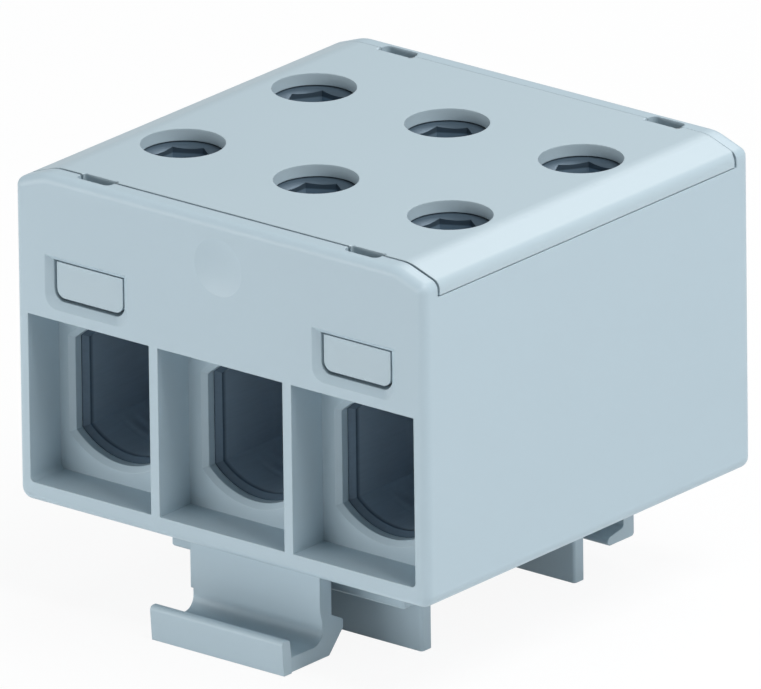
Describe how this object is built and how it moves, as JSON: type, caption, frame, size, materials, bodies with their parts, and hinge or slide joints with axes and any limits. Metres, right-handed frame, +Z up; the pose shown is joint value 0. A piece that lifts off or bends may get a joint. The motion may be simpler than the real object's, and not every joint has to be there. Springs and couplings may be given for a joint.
{
  "type": "feed-through terminal block",
  "caption": "Box-shaped feed-through terminal block: wires enter at front and back, screws under a clipped cover clamp them, and a latch holds it on a 35 mm rail.",
  "frame": {"origin": "in the plane where the rail's flanges seat, on the rail's centre line, midway along the block's width", "axes": "+X along the rail, -Y towards the front with the latch, +Z up out of the rail towards the screws"},
  "size_m": [0.0492, 0.0489, 0.0429],
  "materials": {
    "housing_plastic": "satin, light blue-grey",
    "cover_plastic": "satin, light blue-grey",
    "latch_plastic": "satin, light blue-grey",
    "terminal_metal": "tin-plated, satin",
    "screw_steel": "zinc-plated, satin"
  },
  "bodies": {
    "housing": {"housing": "housing_plastic", "cover": "cover_plastic", "terminal_1": "terminal_metal", "terminal_2": "terminal_metal", "terminal_3": "terminal_metal"},
    "latch": {"rail_latch": "latch_plastic"},
    "screw_1_front": {"clamp_screw_1_front": "screw_steel"},
    "screw_1_back": {"clamp_screw_1_back": "screw_steel"},
    "screw_2_front": {"clamp_screw_2_front": "screw_steel"},
    "screw_2_back": {"clamp_screw_2_back": "screw_steel"},
    "screw_3_front": {"clamp_screw_3_front": "screw_steel"},
    "screw_3_back": {"clamp_screw_3_back": "screw_steel"}
  },
  "joints": [
    {"name": "latch_swing", "type": "hinge", "parent": "housing", "child": "latch", "pos_m": [0, -0.01837, 0.0061], "axis": [-1, 0, 0], "range_deg": [0, 12], "stiffness_Nm_per_rad": 0.8},
    {"name": "screw_1_front_drive", "type": "slide", "parent": "housing", "child": "screw_1_front", "axis": [0, 0, -1], "range_m": [0, 0.0105]},
    {"name": "screw_1_back_drive", "type": "slide", "parent": "housing", "child": "screw_1_back", "axis": [0, 0, -1], "range_m": [0, 0.0105]},
    {"name": "screw_2_front_drive", "type": "slide", "parent": "housing", "child": "screw_2_front", "axis": [0, 0, -1], "range_m": [0, 0.0105]},
    {"name": "screw_2_back_drive", "type": "slide", "parent": "housing", "child": "screw_2_back", "axis": [0, 0, -1], "range_m": [0, 0.0105]},
    {"name": "screw_3_front_drive", "type": "slide", "parent": "housing", "child": "screw_3_front", "axis": [0, 0, -1], "range_m": [0, 0.0105]},
    {"name": "screw_3_back_drive", "type": "slide", "parent": "housing", "child": "screw_3_back", "axis": [0, 0, -1], "range_m": [0, 0.0105]}
  ]
}
